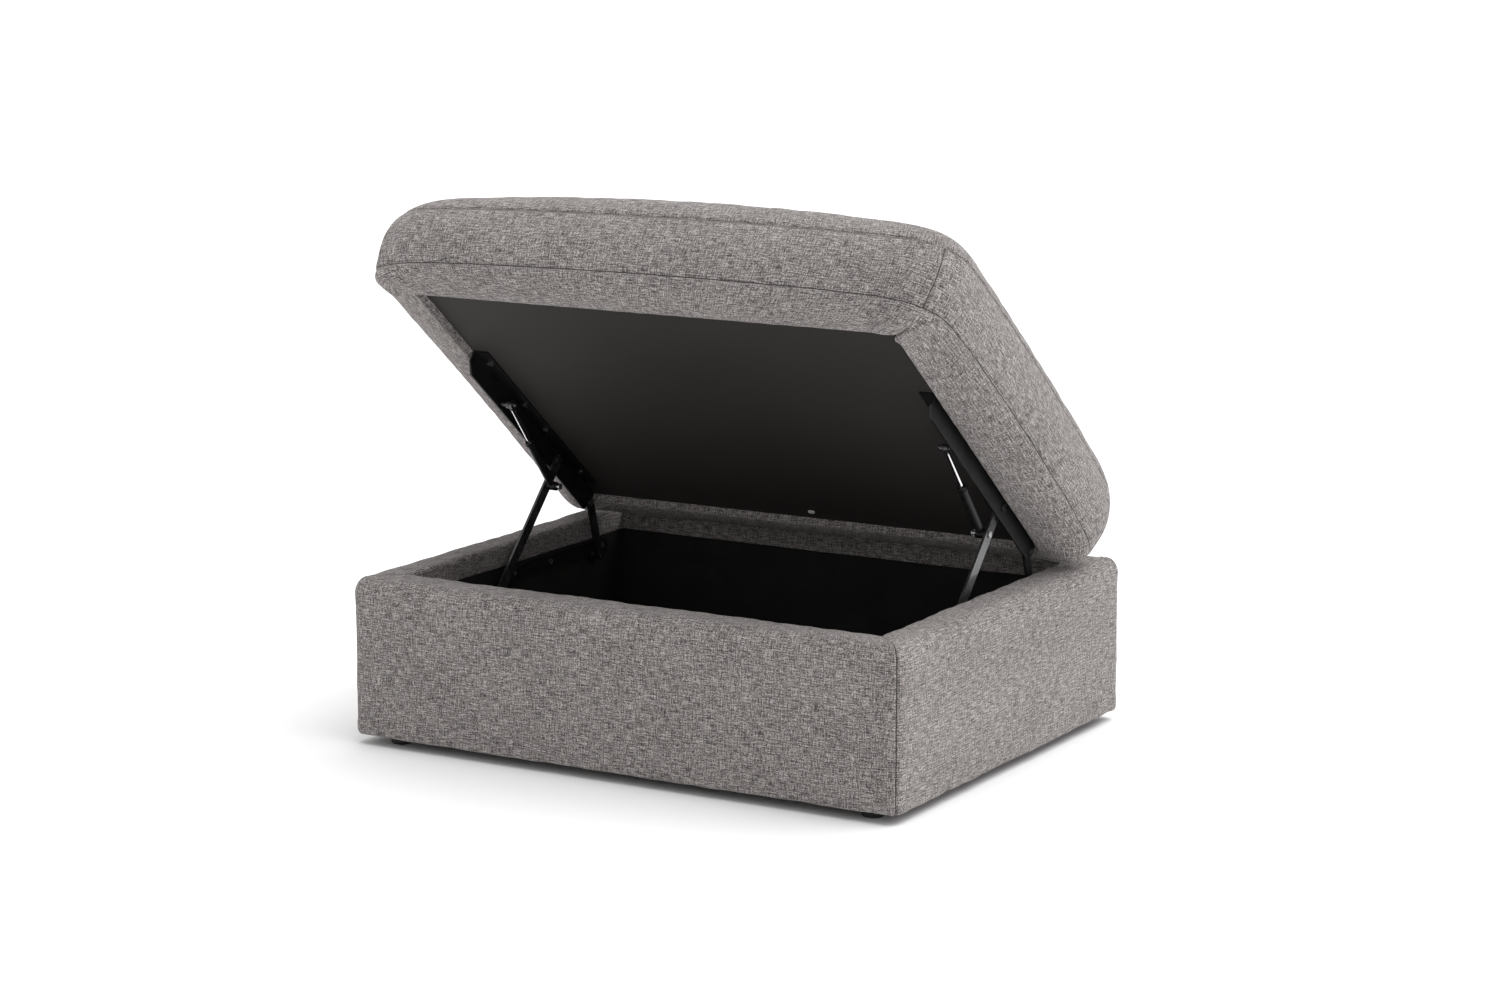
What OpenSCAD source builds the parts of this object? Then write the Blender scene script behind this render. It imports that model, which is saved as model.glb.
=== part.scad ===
// Storage ottoman: an upholstered box on four low feet, with a deep padded lid.
// A four-bar linkage and a gas spring on each side lift the lid up and back.
// X runs from left to right, Y from front to back, and the floor is at Z = 0.
// The lid is modelled open, resting on the stops of its linkage.

/* [Box] */
// Width of the box over its fabric
box_w = 1000; // [960:10:1100]
// Depth of the box over its fabric
box_d = 780; // [770:5:800]
// Height from the underside of the box to the top of the rim
box_h = 261; // [255:1:262]
// Thickness of a finished wall, which is also the width of the rim
wall_t = 67; // [66:1:70]
// Radius of the upright corners
corner_r = 19; // [15:1:25]
// Radius of the rim's outer edge
rim_r = 22; // [15:1:24]
// Depth of the fabric that is turned down inside the rim
hem_depth = 37; // [25:1:60]

/* [Feet] */
// Height of a foot that shows under the box
foot_h = 15; // [12:1:20]
// Diameter of a foot at its top
foot_d = 38; // [30:1:44]
// Distance from the middle of the box to a foot, left and right
foot_x = 435; // [400:5:440]
// Distance from the box's side of the front or back to a foot's centre
foot_inset = 44; // [42:1:46]

/* [Lid] */
// Width of the lid cushion, which bulges a little over the box
lid_w = 1020; // [1000:5:1030]
// Length of the lid cushion, front to back
lid_d = 780; // [770:5:790]
// Thickness of the lid at its sides, from the underside to the top shoulder
lid_edge_h = 184; // [170:1:190]
// Thickness of the lid at its front and rear shoulders
lid_front_edge_h = 203; // [190:1:204]
// Thickness of the lid at its middle
lid_crown_h = 211; // [206:1:216]
// Plan radius of the lid's corners
lid_corner_r = 78; // [50:1:80]
// Angle of the open lid above the horizontal
lid_angle = 39.74; // [39:0.01:40]
// Height of the seam between lower band and border above the lid's underside
lower_seam_h = 45; // [40:1:54]
// Height of the seam between border and top panel
upper_seam_h = 147; // [135:1:150]

/* [Linkage] */
// Distance from the front link's upper pivot down to the gas spring's lower stud
strut_stud_drop = 52; // [48:1:56]
// Width of the front link's bar
link_w = 20; // [18:1:20]
// Diameter of the gas spring's cylinder
cylinder_d = 15; // [12:1:16]
// Diameter of the gas spring's rod
rod_d = 7; // [6:0.5:8]
// Part of the rod that shows, from the upper stud to the cylinder, with the lid open
rod_shown = 90; // [80:1:95]

/* [Hidden] */
$fn = 48;

// Thicknesses of the layers of a wall, from the outside in
skin = 2.5;
layer_gap = 0.3;
joint_gap = 0.2;
pad_t = 15.5;
outer_panel_t = 3;
rail_t = 40;
lining_t = 5;
timber_edge = skin + pad_t;
rail_edge = timber_edge + outer_panel_t;
core_edge = rail_edge + rail_t;
rim_pad_t = 20;

// Levels of the box
base_z = foot_h;
rim_z = foot_h + box_h;
board_z = base_z + skin;
board_t = 6.5;
rail_z = board_z + board_t;
rail_h = 40;
timber_top = rim_z - rim_pad_t;
hem_z = rim_z - hem_depth;
hem_width = 24;
dust_cover_t = 1;
floor_lining_t = 2;

// The bin inside the walls
bin_w = box_w - 2 * wall_t;
bin_d = box_d - 2 * wall_t;

// Lid frame: its origin is on the underside, at the rear edge of the black panel
lid_origin = [209.7, 309];
lid_back = 71;
lid_front = lid_back - lid_d;
lid_mid = (lid_back + lid_front) / 2;
recess_w = 860;
recess_back = 0;
recess_front = -646;
recess_depth = 14;
lid_panel_t = 3;
lid_board_t = 12;
batten_z = 12;
batten_edge = 40;
lid_board_z = recess_depth + lid_panel_t;
lid_foam_z = lid_board_z + lid_board_t;
lid_bottom_r = 50;
lid_rear_bottom_r = 42;
lid_shoulder_r = 64;

// Pivots of the linkage, as distance behind the middle and height
front_base_pivot = [-96, 191];
front_lid_pivot = [96.5, 398.5];
rear_base_pivot = [224.3, 211.1];
rear_lid_pivot = [196, 309];
strut_top = [-65, 518];

// Linkage layers, as distances from the middle of the box, from the inside out
strut_x = 406;
link_in = 416.5;
link_out = 420.5;
flange_in = 423.5;
flange_out = 426.5;
bracket_in = 431;
bracket_out = bin_w / 2 + wall_t - core_edge - lining_t;
play = 0.4;
pin_r = 4;
bore_r = 4.05;
head_r = 7;
head_t = 2.5;
flange_t = flange_out - flange_in;
rear_link_w = 18;
stud_r = 4;
rail_drop = -24;
rail_start = 1;
rail_end = 465;
rail_top_w = 25;
strut_vector = strut_top - (front_lid_pivot + strut_stud_drop
    * (front_base_pivot - front_lid_pivot) / norm(front_base_pivot - front_lid_pivot));
strut_low = strut_top - strut_vector;
strut_length = norm(strut_vector);
strut_angle = atan2(strut_vector[1], strut_vector[0]);
socket_r = 7.5;
socket_neck = 16;
collar_t = 6;
rod_end = strut_length - socket_r - collar_t / 2;
cylinder_end = strut_length - rod_shown;
tube_wall = 1.5;
gland_t = 8;
piston_t = 8;

// Screws and bolts. Bracket screws are placed like the pivots, rail screws by distance along the rail
screw_r = 2.5;
screw_head_r = 5;
screw_depth = 22;
bracket_screw_points = [[-118, 197], [-20, 222], [90, 222], [252, 222]];
rail_screw_steps = [80, 220, 300, 430];
panel_screw_place = [18, -23];
panel_screw_r = 2;
foot_bolt_r = 3;
foot_bolt_low = 6;
foot_bolt_high = 50;

fabric = [0.45, 0.43, 0.42];
foam = [0.93, 0.89, 0.74];
timber = [0.80, 0.66, 0.46];
board = [0.60, 0.46, 0.31];
black_cloth = [0.07, 0.07, 0.07];
black_paint = [0.10, 0.10, 0.11];
steel = [0.62, 0.62, 0.64];
chrome = [0.85, 0.85, 0.88];

// ---- Shapes that several pieces share ----

// Points of an arc about c, from angle a0 to a1
function arc(c, r, a0, a1, n = 6) =
    [for (i = [0:n]) c + r * [cos(a0 + (a1 - a0) * i / n), sin(a0 + (a1 - a0) * i / n)]];

// Block centred on X and Y, between two heights
module slab(w, d, z0, z1) {
    translate([-w / 2, -d / 2, z0]) cube([w, d, z1 - z0]);
}

// Rectangle with round corners, centred
module round_rect(w, d, r) {
    square([w - 2 * r, d], center = true);
    square([w, d - 2 * r], center = true);
    for (sx = [-1, 1], sy = [-1, 1]) translate([sx * (w / 2 - r), sy * (d / 2 - r)]) circle(r);
}

// Upright rectangle from 0 to h with its two top corners rounded
module dome_rect(w, h, r) {
    translate([-w / 2, 0]) square([w, h - r]);
    translate([r - w / 2, 0]) square([w - 2 * r, h]);
    for (s = [-1, 1]) translate([s * (w / 2 - r), h - r]) circle(r);
}

// Box with round upright corners and a round top edge, i inside the outer surface
module box_form(i) {
    w = box_w - 2 * i;
    d = box_d - 2 * i;
    h = box_h - 2 * i;
    translate([0, 0, base_z + i]) intersection() {
        linear_extrude(h) round_rect(w, d, corner_r - i);
        translate([-w / 2, 0, 0]) rotate([90, 0, 90]) linear_extrude(w) dome_rect(d, h, rim_r - i);
        translate([0, d / 2, 0]) rotate([90, 0, 0]) linear_extrude(d) dome_rect(w, h, rim_r - i);
    }
}

// Region of one wall: front and back run the full width from half_d out, and the sides end just short of them
module wall_region(side, half_d) {
    out = box_w;
    w = out - bin_w / 4;
    side_half = half_d - joint_gap;
    if (side == "front") translate([-out, -out, 0]) cube([2 * out, out - half_d, out]);
    if (side == "back") translate([-out, half_d, 0]) cube([2 * out, out, out]);
    if (side == "left") translate([-out, -side_half, 0]) cube([w, 2 * side_half, out]);
    if (side == "right") translate([out - w, -side_half, 0]) cube([w, 2 * side_half, out]);
}

// Straight ring between an inset of the box and a deeper one
module wall_ring(i0, i1, z0, z1) {
    difference() {
        slab(box_w - 2 * i0, box_d - 2 * i0, z0, z1);
        slab(box_w - 2 * i1, box_d - 2 * i1, z0 - 1, z1 + 1);
    }
}

// Ring as four separate lengths: front and back run through, and the sides end just short of them
module split_ring(i0, i1, z0, z1) {
    w = box_w / 2 - i0;
    half = box_d / 2 - i1;
    side_half = half - joint_gap;
    for (s = [-1, 1]) {
        translate([-w, s > 0 ? half : -half - (i1 - i0), z0]) cube([2 * w, i1 - i0, z1 - z0]);
        translate([s > 0 ? w - (i1 - i0) : -w, -side_half, z0]) cube([i1 - i0, 2 * side_half, z1 - z0]);
    }
}

// Holes for the four foot bolts
module at_feet() {
    for (sx = [-1, 1], sy = [-1, 1]) translate([sx * foot_x, sy * (box_d / 2 - foot_inset), 0]) children();
}

module foot_bolt_holes() {
    depth = foot_bolt_high - foot_bolt_low + 0.2;
    at_feet() translate([0, 0, foot_bolt_low]) cylinder(r = foot_bolt_r + 0.05, h = depth);
}

// Extrudes a side-view outline (Y, Z) between two distances from the middle; s is -1 for left
module across(s, x0, x1) {
    mirror([s < 0 ? 1 : 0, 0, 0])
        translate([x0, 0, 0]) rotate([90, 0, 90]) linear_extrude(x1 - x0) children();
}

// Round pin along X at a side-view point
module pin(s, p, r, x0, x1) {
    across(s, x0, x1) translate(p) circle(r);
}

// ---- Box ----

module cover_skin() {
    difference() {
        box_form(0);
        slab(bin_w, bin_d, base_z - 1, rim_z + 1);
        slab(bin_w + 4 * skin, bin_d + 4 * skin, base_z - 1, hem_z);
        slab(box_w - 2 * hem_width, box_d - 2 * hem_width, base_z - 1, base_z + skin + 1);
        difference() {
            box_form(skin);
            slab(bin_w + 2 * skin, bin_d + 2 * skin, hem_z, rim_z);
        }
    }
}

module cover(side) {
    color(fabric) intersection() {
        cover_skin();
        wall_region(side, bin_d / 2);
    }
}

module padding(side) {
    i = skin + layer_gap;
    color(foam) intersection() {
        difference() {
            box_form(i);
            slab(bin_w + 2 * i, bin_d + 2 * i, base_z, rim_z);
            slab(box_w - 2 * timber_edge, box_d - 2 * timber_edge, base_z, timber_top);
            wall_ring(core_edge - 1, wall_t + 1, base_z, hem_z);
        }
        wall_region(side, bin_d / 2);
    }
}

// Holes for the screws of a base bracket, between two distances from the middle
module bracket_screw_holes(s, x0, x1) {
    across(s, x0, x1) bracket_screw_places() circle(screw_r);
}

module top_rails() {
    color(timber) difference() {
        split_ring(rail_edge, core_edge, timber_top - rail_h, timber_top);
        for (s = [-1, 1]) bracket_screw_holes(s, bracket_in, bracket_in + screw_depth);
    }
}

module bottom_rails() {
    color(timber) difference() {
        split_ring(rail_edge, core_edge, rail_z, rail_z + rail_h);
        foot_bolt_holes();
    }
}

module corner_posts() {
    x = box_w / 2 - rail_edge - rail_t / 2;
    y = box_d / 2 - rail_edge - rail_t / 2;
    z0 = rail_z + rail_h;
    color(timber) for (sx = [-1, 1], sy = [-1, 1]) {
        translate([sx * x, sy * y, 0]) slab(rail_t, rail_t, z0, timber_top - rail_h);
    }
}

module outer_panels() {
    color(board) split_ring(timber_edge, rail_edge, rail_z, timber_top);
}

// Plank between the rails that the base bracket is screwed to
module bracket_plank(s) {
    plank_t = 20;
    plank_y = [-150, 290];
    plank_z = [136, timber_top - rail_h];
    x1 = box_w / 2 - core_edge;
    color(timber) difference() {
        across(s, x1, x1 + plank_t)
            translate([plank_y[0], plank_z[0]]) square([plank_y[1] - plank_y[0], plank_z[1] - plank_z[0]]);
        bracket_screw_holes(s, x1 - 1, x1 + plank_t + 1);
    }
}

module lining(side) {
    x = box_w / 2 - core_edge - lining_t;
    color(black_cloth) difference() {
        intersection() {
            wall_ring(core_edge, core_edge + lining_t, rail_z, hem_z - layer_gap);
            wall_region(side, box_d / 2 - core_edge - lining_t);
        }
        if (side == "left" || side == "right") {
            bracket_screw_holes(side == "left" ? -1 : 1, x - 1, x + lining_t + 1);
        }
    }
}

module floor_board() {
    color(board) difference() {
        slab(box_w - 2 * timber_edge, box_d - 2 * timber_edge, board_z, rail_z);
        foot_bolt_holes();
    }
}

module floor_lining() {
    i = core_edge + lining_t + joint_gap;
    color(black_cloth) slab(box_w - 2 * i, box_d - 2 * i, rail_z, rail_z + floor_lining_t);
}

module dust_cover() {
    color(black_cloth) difference() {
        slab(box_w - 2 * hem_width, box_d - 2 * hem_width, board_z - dust_cover_t, board_z);
        foot_bolt_holes();
    }
}

// Low round foot with eased edges
module foot(sx, sy) {
    top = board_z - dust_cover_t;
    r = foot_d / 2;
    color(black_paint) translate([sx * foot_x, sy * (box_d / 2 - foot_inset), 0]) difference() {
        rotate_extrude() polygon([
            [0, 0], [r - 3.5, 0], [r - 1.5, 2], [r, 12], [r, top - 1], [r - 1, top], [0, top]
        ]);
        translate([0, 0, foot_bolt_low]) cylinder(r = foot_bolt_r + 0.05, h = top);
    }
}

module foot_bolts() {
    color(steel) at_feet()
        translate([0, 0, foot_bolt_low]) cylinder(r = foot_bolt_r, h = foot_bolt_high - foot_bolt_low);
}

// ---- Base brackets ----

module bracket_screw_places() {
    for (p = bracket_screw_points) translate(p) children();
}

module base_bracket(s) {
    low_end = front_base_pivot;
    high_end = rear_base_pivot;
    color(black_paint) across(s, bracket_in, bracket_out) difference() {
        union() {
            translate(low_end) circle(17);
            translate(high_end) circle(17);
            translate([-130, 188]) square([60, 18]);
            polygon(concat(
                [[-130, 181], [-60, 181], [10, 208], [270, 208]],
                arc([262, 225], 8, 0, 90),
                [[20, 233], [-60, 214]],
                arc([-122, 206], 8, 90, 180)
            ));
        }
        bracket_screw_places() circle(screw_r);
        for (p = [low_end, high_end]) translate(p) circle(pin_r);
    }
}

module bracket_screws() {
    color(steel) for (s = [-1, 1], p = bracket_screw_points) {
        pin(s, p, screw_head_r, bracket_in - 1.8, bracket_in);
        pin(s, p, screw_r, bracket_in, bracket_in + screw_depth);
    }
}

// Shouldered rivets that the links turn on
module base_rivets() {
    color(steel) for (s = [-1, 1], p = [front_base_pivot, rear_base_pivot]) {
        pin(s, p, head_r, link_in - play - head_t, link_in - play);
        pin(s, p, pin_r, link_in - play, bracket_out);
        pin(s, p, head_r, link_out + play, bracket_in);
    }
}

// ---- Lid ----

// Moves a shape from the lid's own frame to the open lid
module on_lid() {
    translate([0, lid_origin[0], lid_origin[1]]) rotate([-lid_angle, 0, 0]) children();
}

// Lid frame coordinates (Y, Z) of a side-view point of the open lid
function lid_point(p) =
    let (v = p - lid_origin)
    [v[0] * cos(lid_angle) - v[1] * sin(lid_angle), v[0] * sin(lid_angle) + v[1] * cos(lid_angle)];

// Outline of a cushion's section: eased bottom, rounded shoulders and a crowned top
function crown(half, edge, mid, n = 12) =
    let (rise = mid - edge, r = (half * half + rise * rise) / (2 * rise), a = asin(half / r))
    arc([0, mid - r], r, 90 - a, 90 + a, n);

module cushion_section(x0, x1, i, r0, r1, edge_h) {
    w = x1 - x0 - 2 * i;
    s = lid_shoulder_r;
    edge = edge_h - i;
    mid = lid_crown_h - i;
    half = w / 2 - s + s * sin(8);
    translate([(x0 + x1) / 2, 0]) polygon(concat(
        arc([-w / 2 + r0, i + r0], r0, 180, 270),
        arc([w / 2 - r1, i + r1], r1, 270, 360),
        arc([w / 2 - s, edge - s], s, 0, 82),
        crown(half, edge, mid),
        arc([s - w / 2, edge - s], s, 98, 180)
    ));
}

module lid_form(i) {
    w = lid_w - 2 * i;
    d = lid_d - 2 * i;
    intersection() {
        translate([0, lid_mid, 0]) linear_extrude(lid_crown_h + 1) round_rect(w, d, lid_corner_r - i);
        translate([-w / 2, 0, 0]) rotate([90, 0, 90]) linear_extrude(w)
            cushion_section(lid_front, lid_back, i, lid_bottom_r - i, lid_rear_bottom_r - i,
                lid_front_edge_h);
        translate([0, lid_back, 0]) rotate([90, 0, 0]) linear_extrude(lid_d)
            cushion_section(-lid_w / 2, lid_w / 2, i, lid_bottom_r - i, lid_bottom_r - i, lid_edge_h);
    }
}

// Block over the lid's recess, widened by g all round
module recess_block(g, z0, z1) {
    translate([-recess_w / 2 - g, recess_front - g, z0])
        cube([recess_w + 2 * g, recess_back - recess_front + 2 * g, z1 - z0]);
}

module lid_skin() {
    difference() {
        lid_form(0);
        lid_form(skin);
        recess_block(0, -1, skin + 1);
    }
    difference() {
        recess_block(skin, 0, recess_depth);
        recess_block(0, -1, recess_depth + 1);
    }
}

// The part of the lid between two heights
module lid_layer(z0, z1) {
    intersection() {
        children();
        translate([-lid_w, -lid_w, z0]) cube([2 * lid_w, 2 * lid_w, z1 - z0]);
    }
}

module lid_top_cover() {
    color(fabric) on_lid() lid_layer(upper_seam_h, lid_crown_h + 1) lid_skin();
}

module lid_border() {
    color(fabric) on_lid() lid_layer(lower_seam_h, upper_seam_h) lid_skin();
}

module lid_band() {
    color(fabric) on_lid() lid_layer(-1, lower_seam_h) lid_skin();
}

module lid_foam() {
    color(foam) on_lid() lid_layer(lid_foam_z, lid_crown_h) lid_form(skin + layer_gap);
}

// Four battens round the recess: front and back run through, and the sides end just short of them
module lid_battens() {
    g = skin + layer_gap;
    half_w = recess_w / 2 + g;
    side_d = recess_back - recess_front + 2 * g - 2 * joint_gap;
    color(timber) on_lid() intersection() {
        translate([0, lid_mid, batten_z]) linear_extrude(lid_foam_z - batten_z)
            round_rect(lid_w - 2 * batten_edge, lid_d - 2 * batten_edge, lid_corner_r);
        union() {
            translate([-lid_w, lid_front, 0]) cube([2 * lid_w, recess_front - g - lid_front, lid_w]);
            translate([-lid_w, recess_back + g, 0]) cube([2 * lid_w, lid_back, lid_w]);
            for (x = [-half_w - lid_w, half_w])
                translate([x, recess_front - g + joint_gap, 0]) cube([lid_w, side_d, lid_w]);
        }
    }
}

module lid_board() {
    color(board) on_lid() difference() {
        recess_block(skin, lid_board_z, lid_foam_z);
        rail_screw_places() cylinder(r = screw_r, h = lid_foam_z);
        translate(panel_screw_place) cylinder(r = panel_screw_r, h = lid_foam_z - 2);
    }
}

module lid_panel() {
    color(black_cloth) on_lid() difference() {
        recess_block(-layer_gap, recess_depth, lid_board_z);
        rail_screw_places() cylinder(r = screw_r, h = lid_foam_z);
        translate(panel_screw_place) cylinder(r = panel_screw_r, h = lid_foam_z);
    }
}

// Screw with an oval pale cap near the panel's rear edge
module panel_screw() {
    cap_t = 2;
    color(steel) on_lid() translate(panel_screw_place) {
        translate([0, 0, recess_depth - cap_t]) linear_extrude(cap_t) {
            for (sx = [-1, 1]) translate([2 * sx, 0]) circle(4);
            square([4, 8], center = true);
        }
        translate([0, 0, recess_depth]) cylinder(r = panel_screw_r, h = 12);
    }
}

// ---- Lid rails ----

module rail_screw_places() {
    x = flange_in - rail_top_w / 2;
    for (s = [-1, 1], y = rail_screw_steps) translate([s * x, -y, 0]) children();
}

module lid_rail(s) {
    z1 = recess_depth;
    h_front = lid_point(front_lid_pivot);
    h_rear = lid_point(rear_lid_pivot);
    relief = 46;
    color(black_paint) on_lid() difference() {
        union() {
            across(s, flange_in, flange_out) difference() {
                polygon([
                    [-rail_start, z1], [-rail_start, -10], [-rail_start - 12, rail_drop],
                    [-rail_end + 16, rail_drop], [-rail_end, rail_drop + 16], [-rail_end, z1]
                ]);
                for (p = [h_front, h_rear]) translate(p) circle(pin_r);
            }
            across(s, flange_in - rail_top_w, flange_in)
                translate([-rail_end, z1 - flange_t]) square([rail_end - relief, flange_t]);
        }
        rail_screw_places() cylinder(r = screw_r, h = lid_foam_z);
    }
}

module rail_screws() {
    head_z = recess_depth - flange_t - 2;
    color(steel) on_lid() rail_screw_places() {
        translate([0, 0, head_z]) cylinder(r = screw_head_r, h = 2);
        translate([0, 0, head_z + 2]) cylinder(r = screw_r, h = 14);
    }
}

// Rivets of the front links' upper pivots, and the closed rivets beside the rear ones
module lid_rivets() {
    color(steel) for (s = [-1, 1]) {
        pin(s, front_lid_pivot, head_r, link_in - play - head_t, link_in - play);
        pin(s, front_lid_pivot, pin_r, link_in - play, flange_out);
        pin(s, front_lid_pivot, head_r, link_out + play, flange_in);
        for (p = [front_lid_pivot, rear_lid_pivot]) pin(s, p, head_r, flange_out, flange_out + head_t);
        pin(s, rear_lid_pivot, pin_r, flange_in, flange_out);
    }
}

// ---- Links ----

// Flat bar with round ends between two side-view points: a running bore at p, and a hole of radius rq at q
module link_outline(p, q, w, rq) {
    a = atan2(q[1] - p[1], q[0] - p[0]);
    difference() {
        polygon(concat(arc(q, w / 2, a - 90, a + 90, 16), arc(p, w / 2, a + 90, a + 270, 16)));
        translate(p) circle(bore_r);
        translate(q) circle(rq);
    }
}

module front_link(s) {
    color(black_paint) across(s, link_in, link_out) difference() {
        link_outline(front_base_pivot, front_lid_pivot, link_w, bore_r);
        translate(strut_low) circle(stud_r);
    }
}

module rear_link(s) {
    color(black_paint) across(s, link_in, link_out)
        link_outline(rear_base_pivot, rear_lid_pivot, rear_link_w, pin_r);
}

module rear_link_rivet(s) {
    color(steel) {
        pin(s, rear_lid_pivot, head_r, link_in - head_t, link_in);
        pin(s, rear_lid_pivot, pin_r, link_in, flange_in - play);
    }
}

// ---- Gas springs ----

// Places a shape, drawn along +X from the lower stud, in the strut's direction
module along_strut(s) {
    mirror([s < 0 ? 1 : 0, 0, 0]) translate([strut_x, strut_low[0], strut_low[1]])
        rotate([strut_angle, 0, 0]) rotate([0, 0, 90]) children();
}

// Round bar between two distances along the strut
module bar(r, x0, x1) {
    translate([x0, 0, 0]) rotate([0, 90, 0]) cylinder(r = r, h = x1 - x0);
}

module strut_stud(s) {
    color(steel) {
        pin(s, strut_low, stud_r, strut_x - socket_r - 6, link_out);
        pin(s, strut_low, 5.5, link_out, link_out + 2);
        pin(s, strut_low, 5.5, strut_x - socket_r - 8, strut_x - socket_r - 6);
    }
}

module strut_socket(s) {
    inner = strut_x - socket_r;
    outer = link_in - play;
    color(black_paint) {
        difference() {
            union() {
                pin(s, strut_low, socket_r, inner, outer);
                along_strut(s) bar(5, 0, socket_neck);
            }
            pin(s, strut_low, stud_r + 0.05, inner - 1, outer + 1);
        }
    }
}

module strut_cylinder(s) {
    r = cylinder_d / 2;
    bore = r - tube_wall;
    color(black_paint) along_strut(s) {
        difference() {
            bar(r, socket_neck, cylinder_end);
            bar(bore, socket_neck + 4, cylinder_end - gland_t);
            bar(rod_d / 2 + 0.05, cylinder_end - gland_t - 1, cylinder_end + 1);
        }
        difference() {
            bar(r + 1.5, cylinder_end - 7, cylinder_end - 4);
            bar(r, cylinder_end - 8, cylinder_end - 3);
        }
    }
}

module strut_rod(s) {
    r = rod_d / 2;
    piston_r = cylinder_d / 2 - tube_wall - 0.05;
    piston_x = cylinder_end - gland_t - piston_t - 2;
    color(chrome) along_strut(s) {
        bar(r, piston_x, rod_end);
        bar(piston_r, piston_x, piston_x + piston_t);
    }
}

module strut_rod_end(s) {
    color(chrome) {
        pin(s, strut_top, socket_r - 1, strut_x - 6, strut_x + 6);
        pin(s, strut_top, 3, strut_x - 12, strut_x - 6);
        pin(s, strut_top, stud_r, strut_x + 6, flange_in - play);
        along_strut(s) bar(rod_d / 2 + 1, rod_end, rod_end + collar_t);
    }
}

cover("front");  // cover_front
cover("back");  // cover_back
cover("left");  // cover_left
cover("right");  // cover_right
padding("front");  // padding_front
padding("back");  // padding_back
padding("left");  // padding_left
padding("right");  // padding_right
top_rails();
bottom_rails();
corner_posts();
outer_panels();
bracket_plank(-1);  // bracket_plank_left
bracket_plank(1);  // bracket_plank_right
lining("front");  // lining_front
lining("back");  // lining_back
lining("left");  // lining_left
lining("right");  // lining_right
floor_board();
floor_lining();
dust_cover();
foot(-1, -1);  // foot_front_left
foot(1, -1);  // foot_front_right
foot(-1, 1);  // foot_back_left
foot(1, 1);  // foot_back_right
foot_bolts();
base_bracket(-1);  // base_bracket_left
base_bracket(1);  // base_bracket_right
bracket_screws();
base_rivets();
lid_top_cover();
lid_border();
lid_band();
lid_foam();
lid_battens();
lid_board();
lid_panel();
panel_screw();
lid_rail(-1);  // lid_rail_left
lid_rail(1);  // lid_rail_right
rail_screws();
lid_rivets();
front_link(-1);  // front_link_left
front_link(1);  // front_link_right
rear_link(-1);  // rear_link_left
rear_link(1);  // rear_link_right
rear_link_rivet(-1);  // rear_link_rivet_left
rear_link_rivet(1);  // rear_link_rivet_right
strut_stud(-1);  // strut_stud_left
strut_stud(1);  // strut_stud_right
strut_cylinder(-1);  // strut_cylinder_left
strut_cylinder(1);  // strut_cylinder_right
strut_socket(-1);  // strut_socket_left
strut_socket(1);  // strut_socket_right
strut_rod(-1);  // strut_rod_left
strut_rod(1);  // strut_rod_right
strut_rod_end(-1);  // strut_rod_end_left
strut_rod_end(1);  // strut_rod_end_right
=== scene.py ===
"""Storage ottoman with its lid raised: upholstery, finishes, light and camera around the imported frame.

All lengths are in metres. X runs left to right, Y front to back, Z up. The lid cushion is drawn in the lid's
own frame: its origin is at the rear edge of the black panel, y runs along the lid and h is the height over
its underside.
"""
import math

import bpy
import numpy as np
from mathutils import Matrix, Vector


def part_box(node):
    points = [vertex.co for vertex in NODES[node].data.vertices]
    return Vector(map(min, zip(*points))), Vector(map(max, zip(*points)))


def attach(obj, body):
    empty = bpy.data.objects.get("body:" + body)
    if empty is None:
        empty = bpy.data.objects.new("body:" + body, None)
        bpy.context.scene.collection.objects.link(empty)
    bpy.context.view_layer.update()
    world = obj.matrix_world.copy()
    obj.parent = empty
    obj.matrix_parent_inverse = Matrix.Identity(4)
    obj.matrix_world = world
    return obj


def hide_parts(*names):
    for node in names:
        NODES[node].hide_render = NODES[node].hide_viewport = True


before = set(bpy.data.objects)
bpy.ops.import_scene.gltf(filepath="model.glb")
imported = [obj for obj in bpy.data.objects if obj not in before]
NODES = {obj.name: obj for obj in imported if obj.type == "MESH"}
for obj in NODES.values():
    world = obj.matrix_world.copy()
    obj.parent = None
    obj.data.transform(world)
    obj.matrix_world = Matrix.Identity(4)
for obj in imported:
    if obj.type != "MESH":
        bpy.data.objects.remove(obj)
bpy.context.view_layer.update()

# ---------------------------------------------------------------- mesh helpers


def new_object(name, verts, faces, uvs=None, material=None, matrix=None):
    """Smooth-shaded mesh object; uvs holds one (u, v) in metres for each corner of each face."""
    mesh = bpy.data.meshes.new(name)
    mesh.from_pydata([tuple(v) for v in verts], [], [tuple(f) for f in faces])
    if uvs is not None:
        layer = mesh.uv_layers.new(name="cloth")
        layer.data.foreach_set("uv", np.asarray(uvs, np.float32).ravel())
    mesh.polygons.foreach_set("use_smooth", np.ones(len(mesh.polygons), bool))
    mesh.update()
    obj = bpy.data.objects.new(name, mesh)
    bpy.context.scene.collection.objects.link(obj)
    if material is not None:
        mesh.materials.append(material)
    if matrix is not None:
        obj.matrix_world = matrix
    return obj


def coords(mesh):
    co = np.zeros(len(mesh.vertices) * 3, np.float32)
    mesh.vertices.foreach_get("co", co)
    return co.reshape(-1, 3).astype(float)


def set_coords(mesh, co):
    mesh.vertices.foreach_set("co", np.asarray(co, np.float32).ravel())
    mesh.update()


def normals(mesh):
    n = np.zeros(len(mesh.vertices) * 3, np.float32)
    mesh.vertex_normals.foreach_get("vector", n)
    return n.reshape(-1, 3).astype(float)


def bump(d, width):
    """Smooth bell of the distance d, 1 at 0 and nearly 0 at twice the width."""
    return np.exp(-(d / width) ** 2)


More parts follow.
